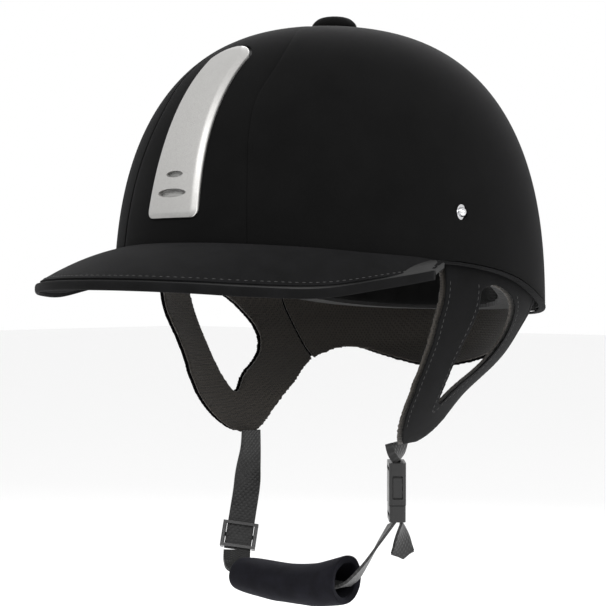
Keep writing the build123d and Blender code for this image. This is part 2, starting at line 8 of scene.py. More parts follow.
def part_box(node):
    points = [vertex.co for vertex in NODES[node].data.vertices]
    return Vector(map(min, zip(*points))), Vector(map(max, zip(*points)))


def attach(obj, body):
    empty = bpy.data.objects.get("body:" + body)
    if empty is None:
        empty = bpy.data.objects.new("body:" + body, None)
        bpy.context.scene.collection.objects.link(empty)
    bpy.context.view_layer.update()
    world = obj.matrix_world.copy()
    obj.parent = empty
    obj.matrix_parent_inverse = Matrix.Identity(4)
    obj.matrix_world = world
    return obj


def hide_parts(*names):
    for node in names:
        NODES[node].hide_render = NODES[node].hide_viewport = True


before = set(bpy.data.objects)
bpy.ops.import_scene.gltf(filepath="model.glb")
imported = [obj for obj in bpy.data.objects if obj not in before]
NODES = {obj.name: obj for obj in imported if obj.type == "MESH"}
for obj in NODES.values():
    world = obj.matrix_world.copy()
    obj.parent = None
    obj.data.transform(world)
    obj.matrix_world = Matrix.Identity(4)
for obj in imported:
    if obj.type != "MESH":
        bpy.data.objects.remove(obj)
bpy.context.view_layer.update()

# Riding helmet: velvet-covered dome, soft fabric peak, padded harness and buckled chin strap.
# Metres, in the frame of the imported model: +Z up, the peak towards -Y, the wearer's left at +X.

MM = 0.001

# ---- camera, light and floor -----------------------------------------------------------------
CAMERA_AT = Vector((563.2, -699.9, 17.2)) * MM
AIM_AT = Vector((-15.3, -10.5, 8.5)) * MM
LENS = 90.25

camera = bpy.data.objects.new("camera", bpy.data.cameras.new("camera"))
camera.data.lens = LENS
camera.data.sensor_width = 36
camera.data.clip_start = 0.01
camera.location = CAMERA_AT
camera.rotation_euler = (AIM_AT - CAMERA_AT).to_track_quat("-Z", "Y").to_euler()
bpy.context.scene.collection.objects.link(camera)
bpy.context.scene.camera = camera
bpy.context.scene.view_settings.view_transform = "Standard"


def softbox(name, place, target, size, power):
    data = bpy.data.lights.new(name, "AREA")
    data.shape = "DISK"
    data.size = size
    data.energy = power
    lamp = bpy.data.objects.new(name, data)
    lamp.location = place
    lamp.rotation_euler = (Vector(target) - Vector(place)).to_track_quat("-Z", "Y").to_euler()
    bpy.context.scene.collection.objects.link(lamp)


softbox("key_light", (0.5, -1.3, 1.1), (0, 0, 0.05), 0.9, 16)
softbox("fill_light", (1.5, -0.3, 0.5), (0, 0, 0.0), 0.8, 9)
softbox("rim_light", (-0.6, 1.2, 1.0), (0, 0, 0.08), 0.9, 14)


# ---- materials -------------------------------------------------------------------------------
def linear(code):
    """An sRGB hex colour as a linear RGBA value."""
    parts = [int(code[i:i + 2], 16) / 255 for i in (0, 2, 4)]
    return [p / 12.92 if p <= 0.04045 else ((p + 0.055) / 1.055) ** 2.4 for p in parts] + [1.0]


def per_mm(size):
    """Texture scale for a feature of that many millimetres, on coordinates in metres."""
    return 1 / (size * MM)


def add(tree, kind, settings=(), links=()):
    """Adds a node; settings name its attributes or inputs, links join (input, source socket)."""
    node = tree.nodes.new(kind)
    for key, value in dict(settings).items():
        if isinstance(key, str) and hasattr(node, key):
            setattr(node, key, value)
        else:
            node.inputs[key].default_value = value
    for socket, source in links:
        tree.links.new(source, node.inputs[socket])
    return node


def new_material(name):
    """A node material with its shader's socket settings left to the caller."""
    material = bpy.data.materials.new(name)
    material.use_nodes = True
    shader = material.node_tree.nodes["Principled BSDF"]
    return material, material.node_tree, shader


def ramp(tree, source, stops):
    """A colour ramp through (position, colour) stops."""
    node = add(tree, "ShaderNodeValToRGB", links=[("Fac", source)])
    node.color_ramp.elements[0].position, node.color_ramp.elements[0].color = stops[0]
    node.color_ramp.elements[1].position, node.color_ramp.elements[1].color = stops[-1]
    for position, colour in stops[1:-1]:
        node.color_ramp.elements.new(position).color = colour
    return node.outputs["Color"]


def rough_bump(tree, shader, height, strength, depth_mm):
    """Bump whose full height is depth_mm."""
    bump = add(tree, "ShaderNodeBump", {"Strength": strength, "Distance": depth_mm * MM},
               [("Height", height)])
    tree.links.new(bump.outputs["Normal"], shader.inputs["Normal"])


def pile_fabric(name, dark, light, sheen, sheen_colour, pile_mm, patch_mm, roughness=0.95, depth=0.25):
    """Napped cloth: fibre-sized grain, and patches where the pile lies another way."""
    material, tree, shader = new_material(name)
    place = add(tree, "ShaderNodeTexCoord").outputs["Object"]
    patches = add(tree, "ShaderNodeTexNoise", {"Scale": per_mm(patch_mm), "Detail": 3.0, "Roughness": 0.6},
                  [("Vector", place)]).outputs["Fac"]
    fibres = add(tree, "ShaderNodeTexNoise", {"Scale": per_mm(pile_mm), "Detail": 5.0, "Roughness": 0.7},
                 [("Vector", place)]).outputs["Fac"]
    both = add(tree, "ShaderNodeMath", {"operation": "MULTIPLY_ADD", 1: 0.45},
               [(0, fibres), (2, patches)]).outputs["Value"]
    colour = ramp(tree, both, [(0.45, linear(dark)), (1.05, linear(light))])
    tree.links.new(colour, shader.inputs["Base Color"])
    shader.inputs["Roughness"].default_value = roughness
    shader.inputs["Specular IOR Level"].default_value = 0.12
    shader.inputs["Sheen Weight"].default_value = sheen
    shader.inputs["Sheen Roughness"].default_value = 0.45
    shader.inputs["Sheen Tint"].default_value = linear(sheen_colour)
    rough_bump(tree, shader, fibres, 0.55, depth)
    return material


def woven(name, dark, light, thread_mm, roughness, slant=0.0, sheen=0.15):
    """Cloth of crossing threads, on the piece's UV map, which is in metres."""
    material, tree, shader = new_material(name)
    uv = add(tree, "ShaderNodeTexCoord").outputs["UV"]
    turned = add(tree, "ShaderNodeMapping", {"Rotation": (0, 0, slant)}, [("Vector", uv)]).outputs["Vector"]
    bands = []
    for direction in ("X", "Y"):
        bands.append(add(tree, "ShaderNodeTexWave", {"bands_direction": direction, "wave_profile": "SIN",
                                                     "Scale": per_mm(thread_mm) / 20 * 3.2, "Distortion": 0.4,
                                                     "Detail": 1.0, "Detail Scale": 3.0},
                         [("Vector", turned)]).outputs["Fac"])
    weave = add(tree, "ShaderNodeMath", {"operation": "MULTIPLY"},
                [(0, bands[0]), (1, bands[1])]).outputs["Value"]
    wear = add(tree, "ShaderNodeTexNoise", {"Scale": per_mm(6.0), "Detail": 4.0},
               [("Vector", uv)]).outputs["Fac"]
    both = add(tree, "ShaderNodeMath", {"operation": "MULTIPLY_ADD", 1: 0.6},
               [(0, weave), (2, wear)]).outputs["Value"]
    colour = ramp(tree, both, [(0.3, linear(dark)), (1.1, linear(light))])
    tree.links.new(colour, shader.inputs["Base Color"])
    shader.inputs["Roughness"].default_value = roughness
    shader.inputs["Specular IOR Level"].default_value = 0.35
    shader.inputs["Sheen Weight"].default_value = sheen
    rough_bump(tree, shader, weave, 0.8, 0.3)
    return material


def moulded(name, dark, light, roughness, grain_mm, depth, specular=0.5, metallic=0.0, coat=0.0):
    """Moulded or sprayed surface: fine grain, and slow changes of gloss."""
    material, tree, shader = new_material(name)
    place = add(tree, "ShaderNodeTexCoord").outputs["Object"]
    grain = add(tree, "ShaderNodeTexNoise", {"Scale": per_mm(grain_mm), "Detail": 4.0},
                [("Vector", place)]).outputs["Fac"]
    smear = add(tree, "ShaderNodeTexNoise", {"Scale": per_mm(9.0), "Detail": 3.0},
                [("Vector", place)]).outputs["Fac"]
    colour = ramp(tree, grain, [(0.3, linear(dark)), (0.75, linear(light))])
    tree.links.new(colour, shader.inputs["Base Color"])
    gloss = add(tree, "ShaderNodeMapRange", {"To Min": roughness * 0.8, "To Max": roughness * 1.25},
                [("Value", smear)])
    tree.links.new(gloss.outputs["Result"], shader.inputs["Roughness"])
    shader.inputs["Metallic"].default_value = metallic
    if not metallic:
        shader.inputs["Specular IOR Level"].default_value = specular
    shader.inputs["Coat Weight"].default_value = coat
    rough_bump(tree, shader, grain, 0.4, depth)
    return material


def mesh_cloth(name, dark, light, hole_mm):
    """Knitted or woven mesh: raised threads, and round holes between them darkened with painted shade."""
    material, tree, shader = new_material(name)
    place = add(tree, "ShaderNodeTexCoord").outputs["Object"]
    cells = add(tree, "ShaderNodeTexVoronoi", {"Scale": per_mm(hole_mm), "Randomness": 0.25},
                [("Vector", place)])
    # The dark colour sits in each cell's middle, the hole: painted shade.
    colour = ramp(tree, cells.outputs["Distance"], [(0.12, linear(dark)), (0.5, linear(light))])
    tree.links.new(colour, shader.inputs["Base Color"])
    shader.inputs["Roughness"].default_value = 0.85
    shader.inputs["Sheen Weight"].default_value = 0.2
    rough_bump(tree, shader, cells.outputs["Distance"], 0.8, 0.5)
    return material


# Cotton velvet: light sinks into the upright pile, with a faint bloom at grazing angles.
VELVET = pile_fabric("cotton_velvet_pile", "020202", "060606", 0.035, "84848c", 0.5, 22)
# Brushed synthetic suede: a little lighter than velvet, with smudges where the nap is stroked.
SUEDE = pile_fabric("brushed_synthetic_suede", "040404", "0d0d0e", 0.05, "8e8e92", 0.35, 14, 0.9)
# Loop fabric of the chin cup: fuzzy, very dark navy.
CUP = pile_fabric("brushed_loop_fabric", "08080b", "15151b", 0.1, "9c9cac", 0.7, 8, 0.95, 0.5)
# Knitted lining over foam, plain black.
KNIT = pile_fabric("knitted_foam_lining", "050505", "101010", 0.1, "909090", 0.4, 10)
# Spacer mesh against the skin: grey-brown threads, with holes painted near black as shade.
SPACER = mesh_cloth("grey_brown_spacer_mesh", "070606", "332e28", 1.5)
# Polyester webbing: ribbed, slightly shiny threads.
WEBBING = woven("woven_polyester_webbing", "0a0a0a", "262626", 1.1, 0.55, math.radians(45))
# Bonded nylon sewing thread: black with a slight shine, so that each stitch catches light.
THREAD = moulded("bonded_nylon_thread", "161616", "262626", 0.45, 0.6, 0.02)
# Satin silver lacquer on a moulded strip: tiny metal flakes under a thin clear coat.
SILVER = moulded("satin_silver_lacquer", "8f8e8c", "b9b8b6", 0.42, 0.25, 0.02, metallic=0.55, coat=0.15)
# Woven steel screen behind the vents: grey wires, with its holes painted near black as shade.
SCREEN = mesh_cloth("woven_steel_screen", "050505", "8a8a88", 0.9)
# Bright chrome plate on the studs.
CHROME = moulded("bright_chrome_plate", "c4c4c6", "e2e2e4", 0.12, 2.0, 0.005, metallic=1.0)
# Acetal, injection moulded: semi-gloss black.
ACETAL = moulded("moulded_black_acetal", "0c0c0c", "1a1a1a", 0.32, 0.4, 0.02)
# Shell: moulded ABS, seen only at its edges.
ABS = moulded("moulded_black_abs", "060606", "101010", 0.5, 0.5, 0.03)
# Expanded bead foam, sprayed black; the hollow middle of each cell is painted a little darker as shade.
BEADS = mesh_cloth("black_expanded_bead_foam", "030303", "0d0d0d", 3.5)
# Plain studio paper under and behind the object.
PAPER = moulded("matt_studio_paper", "f4f4f4", "f8f8f8", 0.9, 3.0, 0.01, specular=0.1)

FINISH = {
    VELVET: ["cover_front_panel", "cover_rear_panel", "cover_left_panel", "cover_right_panel",
             "crown_button"],
    SUEDE: ["peak_cover_top", "peak_cover_under", "peak_edge_binding", "rim_binding", "yoke_outer_left",
            "yoke_outer_right", "nape_outer"],
    SPACER: ["yoke_lining_left", "yoke_lining_right", "nape_lining"],
    KNIT: ["headband_pad", "crown_pad", "chin_cup_lining"],
    CUP: ["chin_cup_outer"],
    WEBBING: ["right_webbing", "chin_webbing", "left_webbing", "webbing_tail", "buckle_loop_webbing",
              "yoke_webbing_left", "yoke_webbing_right", "anchor_webbing_left", "anchor_webbing_right"],
    SILVER: ["front_trim"],
    SCREEN: ["trim_vent_meshes"],
    CHROME: ["side_studs", "stud_washers", "crown_rivet"],
    ACETAL: ["buckle_socket", "buckle_plug", "buckle_arm_front", "buckle_arm_rear", "strap_slider"],
    ABS: ["outer_shell", "peak_core"],
    BEADS: ["foam_liner"],
}
for finish, names in FINISH.items():
    for node_name in names:
        mesh = NODES[node_name].data
        mesh.materials.clear()
        mesh.materials.append(finish)


# ---- mesh helpers ----------------------------------------------------------------------------
def finished(name, bm, material, body, stands_for=()):
    """Turns a bmesh into an object that rides on a body and takes its finish from a slot."""
    bmesh.ops.recalc_face_normals(bm, faces=bm.faces)
    mesh = bpy.data.meshes.new(name)
    bm.to_mesh(mesh)
    bm.free()
    for face in mesh.polygons:
        face.use_smooth = True
    piece = bpy.data.objects.new(name, mesh)
    bpy.context.scene.collection.objects.link(piece)
    piece.data.materials.append(material)
    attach(piece, body)
    if stands_for:
        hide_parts(*stands_for)
    return piece


def grid(across, along):
    """A unit grid with a UV map, centred on the origin, to be carried onto a surface."""
    bm = bmesh.new()
    bm.loops.layers.uv.new("UVMap")
    bmesh.ops.create_grid(bm, x_segments=across, y_segments=along, size=0.5, calc_uvs=True)
    return bm


def solid(piece, thickness, offset=-1.0, soften=0.0, levels=0):
    """Gives a sheet its wall, soft edges and subdivision."""
    wall = piece.modifiers.new("wall", "SOLIDIFY")
    wall.thickness = thickness
    wall.offset = offset
    if soften:
        bevel = piece.modifiers.new("edges", "BEVEL")
        bevel.width = soften
        bevel.segments = 2
        bevel.limit_method = "ANGLE"
    if levels:
        rounding = piece.modifiers.new("rounding", "SUBSURF")
        rounding.levels = rounding.render_levels = levels
    return piece


def curve_point(points, t):
    """Catmull-Rom point at t from 0 to 1 along a list of vectors."""
    spans = len(points) - 1
    at = min(max(t, 0.0), 1.0) * spans
    i = min(int(at), spans - 1)
    f = at - i
    a, b = points[max(i - 1, 0)], points[i]
    c, d = points[i + 1], points[min(i + 2, spans)]
    return 0.5 * (2 * b + (c - a) * f + (2 * a - 5 * b + 4 * c - d) * f * f
                  + (3 * b - a - 3 * c + d) * f ** 3)


def strap(name, stations, body, stands_for=(), width=16.0, thick=1.5, along=90, point_tip=0.0):
    """Flat webbing along (centre, width direction) stations in millimetres, with metre UVs."""
    bm = grid(8, along)
    centres = [Vector(c) * MM for c, _ in stations]
    sides = [Vector(w).normalized() for _, w in stations]
    length = sum((b - a).length for a, b in zip(centres, centres[1:]))
    uv = bm.loops.layers.uv.active
    for face in bm.faces:
        for loop in face.loops:
            loop[uv].uv = (loop.vert.co.x * width * MM, loop.vert.co.y * length)
    for vert in bm.verts:
        t = vert.co.y + 0.5
        centre = curve_point(centres, t)
        ahead = curve_point(centres, t + 0.01) - curve_point(centres, t - 0.01)
        side = curve_point(sides, t)
        side = (side - ahead * (side.dot(ahead) / ahead.length_squared)).normalized()
        reach = width * MM * vert.co.x
        if point_tip and t > 1 - point_tip:
            left = (t - 1 + point_tip) / point_tip
            centre = centre - ahead.normalized() * abs(vert.co.x) * left * width * 0.5 * MM
        vert.co = centre + side * reach
    piece = finished(name, bm, WEBBING, body, stands_for)
    return solid(piece, thick * MM, 0.0, 0.35 * MM)


def copy_of(*names):
    """The joined solids of some CAD nodes as one clean bmesh."""
    bm = bmesh.new()
    for name in names:
        bm.from_mesh(NODES[name].data)
    bmesh.ops.remove_doubles(bm, verts=bm.verts, dist=2e-6)
    return bm


def apply_modifiers(piece):
    """Replaces the piece's mesh with its evaluated one and clears its modifiers."""
    bpy.context.view_layer.update()
    result = bpy.data.meshes.new_from_object(piece.evaluated_get(bpy.context.evaluated_depsgraph_get()))
    piece.modifiers.clear()
    piece.data = result


# ---- floor -----------------------------------------------------------------------------------
floor_mesh = bmesh.new()
bmesh.ops.create_grid(floor_mesh, x_segments=1, y_segments=1, size=12)
bmesh.ops.translate(floor_mesh, verts=floor_mesh.verts, vec=(0, 0, -0.42))
floor_data = bpy.data.meshes.new("floor")
floor_mesh.to_mesh(floor_data)
floor_mesh.free()
floor_data.materials.append(PAPER)
floor = bpy.data.objects.new("floor", floor_data)
bpy.context.scene.collection.objects.link(floor)

world = bpy.data.worlds.new("studio")
world.use_nodes = True
world.node_tree.nodes["Background"].inputs["Color"].default_value = (1, 1, 1, 1)
world.node_tree.nodes["Background"].inputs["Strength"].default_value = 1.0
bpy.context.scene.world = world

# ---- dome surface ----------------------------------------------------------------------------
HALF_WIDTH, HALF_LENGTH, DOME_HEIGHT, DOME_POWER = 117.0, 139.0, 168.5, 2.55
RIM = [(-180, 41), (-139, 39), (-112, 35.6), (-70, 30.7), (-33, 29.5), (12, 22.8), (62, 9.5), (102, 2.5),
       (139, 0.5), (180, 0.5)]                  # (y, z) of the shell's lower edge
SEAM = [(15, 46), (40, 45), (71.5, 41.6), (99, 36.4), (116, 33.6), (136, 33.4), (152, 27),
        (167, 11)]                              # (z, x) of the front and rear panels' seams
BEAD_HIGH = 1.6
PANEL_LIFT = 1.8           # the panels start this far above the rim line, on the bound edge
SEAM_GAP = 0.3
VELVET_THICK = 1.0


def smooth_value(points, at):
    """Value at a key, on a smooth curve through (key, value) points with rising keys."""
    at = min(max(at, points[0][0]), points[-1][0])
    i = max(k for k in range(len(points) - 1) if points[k][0] <= at)

    def slope(j):
        (key_a, value_a), (key_b, value_b) = points[max(j - 1, 0)], points[min(j + 1, len(points) - 1)]
        return (value_b - value_a) / (key_b - key_a)

    span = points[i + 1][0] - points[i][0]
    t = (at - points[i][0]) / span
    rise = t * t * (3 - 2 * t)
    ends = points[i][1] * (1 - rise) + points[i + 1][1] * rise
    return ends + span * (slope(i) * t * (1 - t) ** 2 - slope(i + 1) * t * t * (1 - t))


def dome_size(inset):
    return HALF_WIDTH - inset, HALF_LENGTH - inset, DOME_HEIGHT - inset


def dome_share(z, inset):
    """Size of the dome's level section at height z, as a share of its widest one."""
    height = dome_size(inset)[2]
    return max(1 - (min(max(z, 0), height) / height) ** DOME_POWER, 0) ** (1 / DOME_POWER)


def dome_angle(z):
    """Angle of the profile at height z: even steps of it are even steps along the dome."""
    return math.asin(min(z / DOME_HEIGHT, 1) ** (DOME_POWER / 2))


def dome_level(angle):
    return DOME_HEIGHT * math.sin(angle) ** (2 / DOME_POWER)


def dome_y(x, z, inset, facing):
    """Where the dome's front (-1) or rear (1) is, at a place across it and a height."""
    half_wide, half_long, _ = dome_size(inset)
    return facing * half_long * math.sqrt(max(dome_share(z, inset) ** 2 - (x / half_wide) ** 2, 0))


def dome_z(x, y, inset):
    half_wide, half_long, height = dome_size(inset)
    share = math.hypot(x / half_wide, y / half_long)
    return height * max(1 - share ** DOME_POWER, 0) ** (1 / DOME_POWER)


def carry(bm, place):
    """Moves each vertex of a unit grid to place(u, v), with u from -1 to 1 and v from 0 to 1."""
    for vert in bm.verts:
        vert.co = Vector(place(vert.co.x * 2, vert.co.y + 0.5)) * MM
    return bm


def cloth_piece(name, bm, material, stands_for, thick, soften, cutters=()):
    """A stretched skin with its thickness, its openings and soft edges; also gives its area."""
    bmesh.ops.remove_doubles(bm, verts=bm.verts, dist=1e-5)
    piece = finished(name, bm, material, "helmet", stands_for)
    solid(piece, thick * MM)
    for k, cutter in enumerate(cutters):
        cut = piece.modifiers.new(f"opening_{k}", "BOOLEAN")
        cut.operation = "DIFFERENCE"
        cut.solver = "EXACT"
        cut.object = cutter
    apply_modifiers(piece)
    edge = piece.modifiers.new("edges", "BEVEL")
    edge.width = soften * MM
    edge.segments = 2
    edge.limit_method = "ANGLE"
    edge.angle_limit = math.radians(50)
    return piece, sum(face.area for face in piece.data.polygons) / 2


def prism(name, outline, direction):
    """A cutter: a closed outline of (across, up) points pushed right through along X or Y."""
    bm = bmesh.new()
    at = {"X": lambda a, b: (-0.2, a * MM, b * MM), "Y": lambda a, b: (a * MM, -0.2, b * MM)}[direction]
    verts = [bm.verts.new(at(a, b)) for a, b in outline]
    face = bm.faces.new(verts)
    pushed = bmesh.ops.extrude_face_region(bm, geom=[face])["geom"]
    reach = Vector((0.4, 0, 0)) if direction == "X" else Vector((0, 0.2, 0))
    bmesh.ops.translate(bm, verts=[g for g in pushed if isinstance(g, bmesh.types.BMVert)], vec=reach)
    bmesh.ops.recalc_face_normals(bm, faces=bm.faces)
    mesh = bpy.data.meshes.new(name)
    bm.to_mesh(mesh)
    bm.free()
    cutter = bpy.data.objects.new(name, mesh)
    bpy.context.scene.collection.objects.link(cutter)
    return cutter


def oval(across, up, half_across, half_up, count=40):
    turns = [2 * math.pi * i / count for i in range(count)]
    return [(across + half_across * math.cos(turn), up + half_up * math.sin(turn)) for turn in turns]


# ---- velvet panels ---------------------------------------------------------------------------
TOP_HALF = SEAM[-1][1]
TOP_AT = SEAM[-1][0]
ROWS_UP = 0.85             # share of the rows that climb the dome; the rest cross its flat top
TUCK, TUCK_WIDE = 0.4, 4.0             # how far a panel dips into its seam, and how far from it


def tucked(off_seam):
    """Extra inset of the velvet where it turns into a seam."""
    return TUCK * max(0.0, 1 - off_seam / TUCK_WIDE) ** 2


def seam_panel(facing, u, v):
    """A point of the front (-1) or rear (1) panel, between the two seams."""
    low = 40.0
    for _ in range(4):
        low = smooth_value(RIM, dome_y(u * smooth_value(SEAM, low), low, 0, facing)) + PANEL_LIFT
    if v < ROWS_UP:
        start, stop = dome_angle(low), dome_angle(TOP_AT)
        z = dome_level(start + (stop - start) * v / ROWS_UP)
        half = smooth_value(SEAM, z)
        inset = tucked((1 - abs(u)) * half)
        return u * half, dome_y(u * half, z, inset, facing), z
    across = (v - ROWS_UP) / (1 - ROWS_UP)
    x = u * TOP_HALF
    y = dome_y(x, TOP_AT, 0, facing) * (1 - across) + facing * SEAM_GAP / 2 * across
    return x, y, dome_z(x, y, tucked((1 - abs(u)) * TOP_HALF))


def side_panel(side, u, v):
    """A point of the left (1) or right (-1) panel, from its front seam to its rear one."""
    edge = TOP_HALF + SEAM_GAP
    top = dome_angle(dome_z(edge, 0, 0))

    def at(z):
        share = dome_share(z, 0)
        edge_x = smooth_value(SEAM, z) + SEAM_GAP
        sweep = math.acos(min(edge_x / (HALF_WIDTH * share), 1))
        off_seam = (1 - abs(u)) * sweep * HALF_WIDTH * share
        keep = dome_share(z, tucked(off_seam)) / share
        size = HALF_WIDTH * share * keep, HALF_LENGTH * share * keep
        return side * size[0] * math.cos(sweep * u), size[1] * math.sin(sweep * u), z

    low = 30.0
    for _ in range(4):
        low = smooth_value(RIM, at(low)[1]) + PANEL_LIFT
    return at(dome_level(dome_angle(low) + (top - dome_angle(low)) * v))


# ---- silver strip ----------------------------------------------------------------------------
STRIP_LOW, STRIP_HIGH, STRIP_SHOULDER = 54.0, 150.0, 143.0
STRIP_HALF = [(54, 18.3), (98.5, 15.8), (143, 14.4)]
STRIP_CORNER = 4.5
STRIP_PROUD, STRIP_DEEP = 2.2, 3.0
FACET_WIDE, FACET_DROP = 3.4, 1.3      # sloping facet along each side
VENTS = [(67.0, 10.0, 2.3), (77.0, 6.0, 1.7)]
HEAD_RADIUS = (STRIP_HALF[-1][1] ** 2 + 7.0 ** 2) / 14.0


def strip_half(z):
    """Half width of the strip at a height, with its rounded foot corners and round head."""
    if z > STRIP_SHOULDER:
        return math.sqrt(max(HEAD_RADIUS ** 2 - (z - STRIP_HIGH + HEAD_RADIUS) ** 2, 0))
    half = smooth_value(STRIP_HALF, z)
    short = STRIP_CORNER - (z - STRIP_LOW)
    return half if short < 0 else half - STRIP_CORNER + math.sqrt(STRIP_CORNER ** 2 - short ** 2)


def strip_outline(grow, count=40):
    """The strip's outline, seen from the front, moved out by grow."""
    levels = [STRIP_LOW + (STRIP_HIGH - STRIP_LOW) * (1 - math.cos(math.pi * i / count)) / 2
              for i in range(count + 1)]
    middle = (STRIP_LOW + STRIP_HIGH) / 2
    stretch = 1 + 2 * grow / (STRIP_HIGH - STRIP_LOW)
    right = [(strip_half(z) + grow, middle + (z - middle) * stretch) for z in levels]
    return right + [(-x, z) for x, z in reversed(right)]


def strip_point(u, v):
    z = STRIP_LOW + (STRIP_HIGH - STRIP_LOW) * (1 - math.cos(math.pi * v)) / 2
    half = max(strip_half(z), 0.4)
    off_edge = min((1 - abs(u)) * half, z - STRIP_LOW + 0.8, STRIP_HIGH - z + 0.8)
    drop = FACET_DROP * max(0.0, 1 - off_edge / FACET_WIDE)
    return u * half, dome_y(u * half, z, drop - STRIP_PROUD, -1), z


strip_cutters = [prism(f"vent_{k}", oval(0, z, wide, high), "Y") for k, (z, wide, high) in enumerate(VENTS)]
strip_mesh = carry(grid(44, 90), strip_point)
strip, _ = cloth_piece("front_strip", strip_mesh, SILVER, ("front_trim",), STRIP_DEEP, 0.5,
                       strip_cutters)

panel_cutter = prism("strip_bed", strip_outline(SEAM_GAP), "Y")
stud_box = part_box("stud_washers")
STUD_Y = (stud_box[0][1] + stud_box[1][1]) / 2 / MM
STUD_Z = (stud_box[0][2] + stud_box[1][2]) / 2 / MM
stud_cutter = prism("stud_bed", oval(STUD_Y, STUD_Z, 4.3, 4.3), "X")

PANELS = [("front", lambda u, v: seam_panel(-1, u, v), 40, 74, [panel_cutter]),
          ("rear", lambda u, v: seam_panel(1, u, v), 40, 84, []),
          ("left", lambda u, v: side_panel(1, u, v), 110, 84, [stud_cutter]),
          ("right", lambda u, v: side_panel(-1, u, v), 110, 84, [stud_cutter])]
for name, place, across, along, openings in PANELS:
    panel, area = cloth_piece(f"velvet_{name}_panel", carry(grid(across, along), place), VELVET,
                              (f"cover_{name}_panel",), VELVET_THICK, 0.35, openings)
for cutter in [*strip_cutters, panel_cutter, stud_cutter]:
    bpy.data.objects.remove(cutter)

# ---- bound rim -------------------------------------------------------------------------------
BEAD_OUT, BEAD_DEEP = 0.3, 4.3


def bead_point(u, v):
    """A point of the rim's rolled binding, u about its section and v round the helmet."""
    turn, about = 2 * math.pi * v, math.pi * u
    low = 20.0
    for _ in range(4):
        low = smooth_value(RIM, HALF_LENGTH * dome_share(low, 0) * math.sin(turn))
    out = math.copysign(abs(math.cos(about)) ** 0.7, math.cos(about))
    up = math.copysign(abs(math.sin(about)) ** 0.7, math.sin(about))
    z = low + BEAD_HIGH / 2 * (1 + up) - 0.25
    inset = BEAD_DEEP / 2 * (1 - out) - BEAD_OUT
    share = dome_share(z, inset)
    half_wide, half_long, _ = dome_size(inset)
    return half_wide * share * math.cos(turn), half_long * share * math.sin(turn), z


bead_mesh = carry(grid(14, 300), bead_point)
bmesh.ops.remove_doubles(bead_mesh, verts=bead_mesh.verts, dist=1e-5)
bead = finished("rim_rolled_binding", bead_mesh, SUEDE, "helmet", ("rim_binding",))

# ---- crown button ----------------------------------------------------------------------------
BUTTON_RADIUS, BUTTON_RISE, BUTTON_LIFT = 13.6, 8.2, 0.35
GATHERS = 14
button_bm = bmesh.new()
profile = [(0.0, 1.0), (0.3, 0.985), (0.55, 0.93), (0.75, 0.8), (0.9, 0.58), (0.985, 0.36), (0.97, 0.16),
           (0.9, 0.06), (0.5, 0.04), (0.0, 0.04)]
line = [button_bm.verts.new((r * BUTTON_RADIUS * MM, 0, (DOME_HEIGHT + BUTTON_LIFT + h * BUTTON_RISE) * MM))
        for r, h in profile]
edges = [button_bm.edges.new(pair) for pair in zip(line, line[1:])]
bmesh.ops.spin(button_bm, geom=[*line, *edges], cent=(0, 0, 0), axis=(0, 0, 1), angle=2 * math.pi, steps=56,
               use_merge=True)
bmesh.ops.remove_doubles(button_bm, verts=button_bm.verts, dist=2e-5)
for vert in button_bm.verts:
    turn = math.atan2(vert.co.y, vert.co.x)
    share = math.hypot(vert.co.x, vert.co.y) / (BUTTON_RADIUS * MM)
    pull = 1 - 0.02 * share * (0.5 + 0.5 * math.cos(GATHERS * turn))
    vert.co = Vector((vert.co.x * pull, vert.co.y * pull, vert.co.z))
button = finished("velvet_crown_button", button_bm, VELVET, "helmet", ("crown_button",))
rounding = button.modifiers.new("rounding", "SUBSURF")
rounding.levels = rounding.render_levels = 2

# ---- peak ------------------------------------------------------------------------------------
PEAK_HALF_WIDTH, PEAK_REACH, PEAK_BACK, PEAK_ARCH = 112.5, 153.0, -47.6, 3.0
PEAK_EDGE, PEAK_THICK, PEAK_SKIN = 3.2, 4.5, 1.0
ROOT_SHARE = 0.93
PEAK_STEPS = 12


def peak_ends(turn):
    """Root and edge of the peak at an angle round its outline, from its left end."""
    droop = math.sin(turn)
    edge_z = 27.5 - 11.5 * min(1, 1.7 * droop) + 5.0 * max(0, droop - 0.6) / 0.4
    edge = Vector((PEAK_HALF_WIDTH * math.cos(turn), PEAK_BACK - PEAK_REACH * droop, edge_z))
    root_y = PEAK_BACK * 0.55 - (HALF_LENGTH * ROOT_SHARE + PEAK_BACK * 0.55) * droop
    return Vector((ROOT_SHARE * HALF_WIDTH * math.cos(turn), root_y, smooth_value(RIM, root_y) + 4.2)), edge


PEAK_TURNS = [math.radians(4) + math.radians(172) * i / PEAK_STEPS for i in range(PEAK_STEPS + 1)]
ROOTS = [peak_ends(turn)[0] for turn in PEAK_TURNS]
EDGES = [peak_ends(turn)[1] for turn in PEAK_TURNS]


def outside_dome(place, clear):
    """Positive outside the dome grown by clear."""
    half_wide, half_long, _ = dome_size(-clear)
    return math.hypot(place.x / half_wide, place.y / half_long) - dome_share(place.z, -clear)


def peak_place(share, s, below, inset=0.0):
    """A point of the peak: share along its outline, s from the dome (0) to its edge (1)."""
    root, edge = curve_point(ROOTS, share), curve_point(EDGES, share)
    flat = Vector((edge.x - root.x, edge.y - root.y, 0))
    long = flat.length

    def at(reach):
        crown = PEAK_ARCH * 4 * reach / long * (1 - reach / long) * min(1, long / 60)
        return root + flat * (reach / long) + Vector((0, 0, (edge.z - root.z) * reach / long + crown - below))

    near, far = 0.0, long - inset
    for _ in range(12):
        middle = (near + far) / 2
        near, far = (middle, far) if outside_dome(at(middle), 0.4) < 0 else (near, middle)
    start = far
    return at(start + (long - inset - start) * s)


